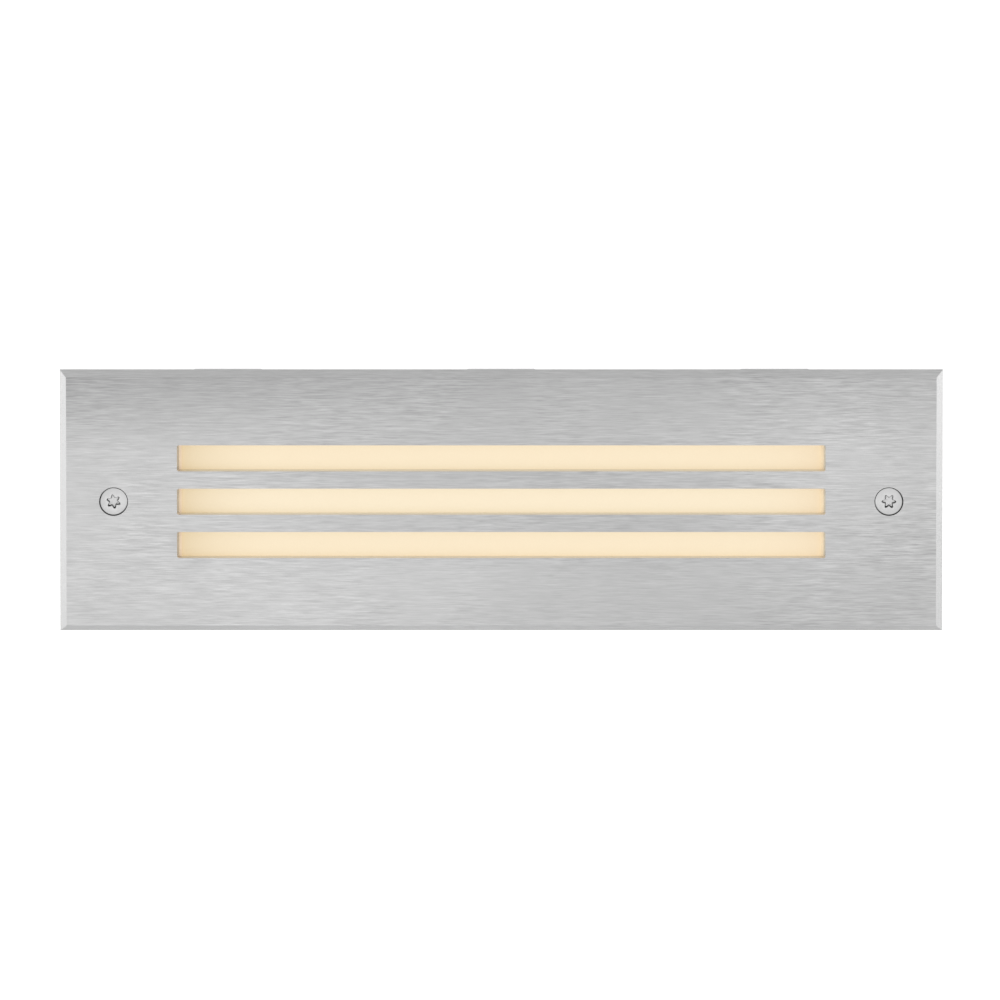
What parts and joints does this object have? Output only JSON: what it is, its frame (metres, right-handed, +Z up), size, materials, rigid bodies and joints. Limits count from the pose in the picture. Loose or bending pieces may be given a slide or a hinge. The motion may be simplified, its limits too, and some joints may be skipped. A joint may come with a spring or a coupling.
{
  "type": "step light",
  "caption": "Recessed wall step light: bevelled slotted stainless face plate over a lit frosted lens, cast box with mortar lugs, LED driver and wiring space.",
  "frame": {"origin": "middle of the wall's face behind the plate, where the plate's gasket lies on the wall", "axes": "+X along the plate to the right seen from the front, +Y into the wall, +Z up"},
  "size_m": [0.254, 0.0605, 0.0762],
  "materials": {
    "brushed_stainless": "brushed along the plate",
    "screw_stainless": "turned, bright",
    "plated_steel": "zinc plated",
    "black_silicone": "matt silicone rubber",
    "white_silicone": "translucent white silicone rubber, lit by the lens",
    "frosted_glass": "acid-etched glass, lit warm white from behind",
    "natural_nylon": "natural nylon",
    "black_nylon": "moulded nylon",
    "coated_aluminium": "cast, grey powder coat",
    "brass": "turned brass",
    "white_plastic": "white polycarbonate",
    "board_white": "aluminium board, white mask",
    "led_phosphor": "yellow phosphor in a white package",
    "grey_pad": "thermal pad",
    "plain_aluminium": "mill finish",
    "black_plastic": "potted driver case",
    "orange_plastic": "moulded release buttons",
    "tinned_copper": "tinned copper",
    "green_screw": "green ground screw",
    "red_lead": "insulated lead",
    "black_lead": "insulated lead",
    "white_lead": "insulated lead",
    "green_lead": "insulated lead"
  },
  "bodies": {
    "box": {"housing": "coated_aluminium", "threaded_inserts": "brass", "entry_plug": "black_nylon", "plug_seal": "black_silicone", "reflector": "white_plastic", "reflector_screws": "plated_steel", "led_board": "board_white", "leds": "led_phosphor", "led_connector": "white_plastic", "thermal_pad": "grey_pad", "heat_spreader": "plain_aluminium", "lead_grommet": "black_silicone", "led_driver": "black_plastic", "driver_screws": "plated_steel", "terminal_block": "natural_nylon", "terminal_buttons": "orange_plastic", "terminal_block_screw": "plated_steel", "ground_ring": "tinned_copper", "ground_screw": "green_screw", "led_lead_positive": "red_lead", "led_lead_negative": "black_lead", "live_lead": "black_lead", "neutral_lead": "white_lead", "ground_lead": "green_lead"},
    "cover": {"faceplate": "brushed_stainless", "faceplate_studs": "plated_steel", "faceplate_gasket": "black_silicone", "lens_gasket": "white_silicone", "lens": "frosted_glass", "lens_bracket": "plated_steel", "bracket_nuts": "plated_steel", "screw_retainers": "natural_nylon"},
    "left_screw": {"left_face_screw": "screw_stainless"},
    "right_screw": {"right_face_screw": "screw_stainless"}
  },
  "joints": [
    {"name": "faceplate_lift", "type": "slide", "parent": "box", "child": "cover", "axis": [0, -1, 0], "range_m": [0, 0.06]},
    {"name": "left_screw_turn", "type": "hinge", "parent": "cover", "child": "left_screw", "pos_m": [-0.1115, 0, 0], "axis": [0, -1, 0], "continuous": true},
    {"name": "right_screw_turn", "type": "hinge", "parent": "cover", "child": "right_screw", "pos_m": [0.1115, 0, 0], "axis": [0, -1, 0], "continuous": true}
  ]
}
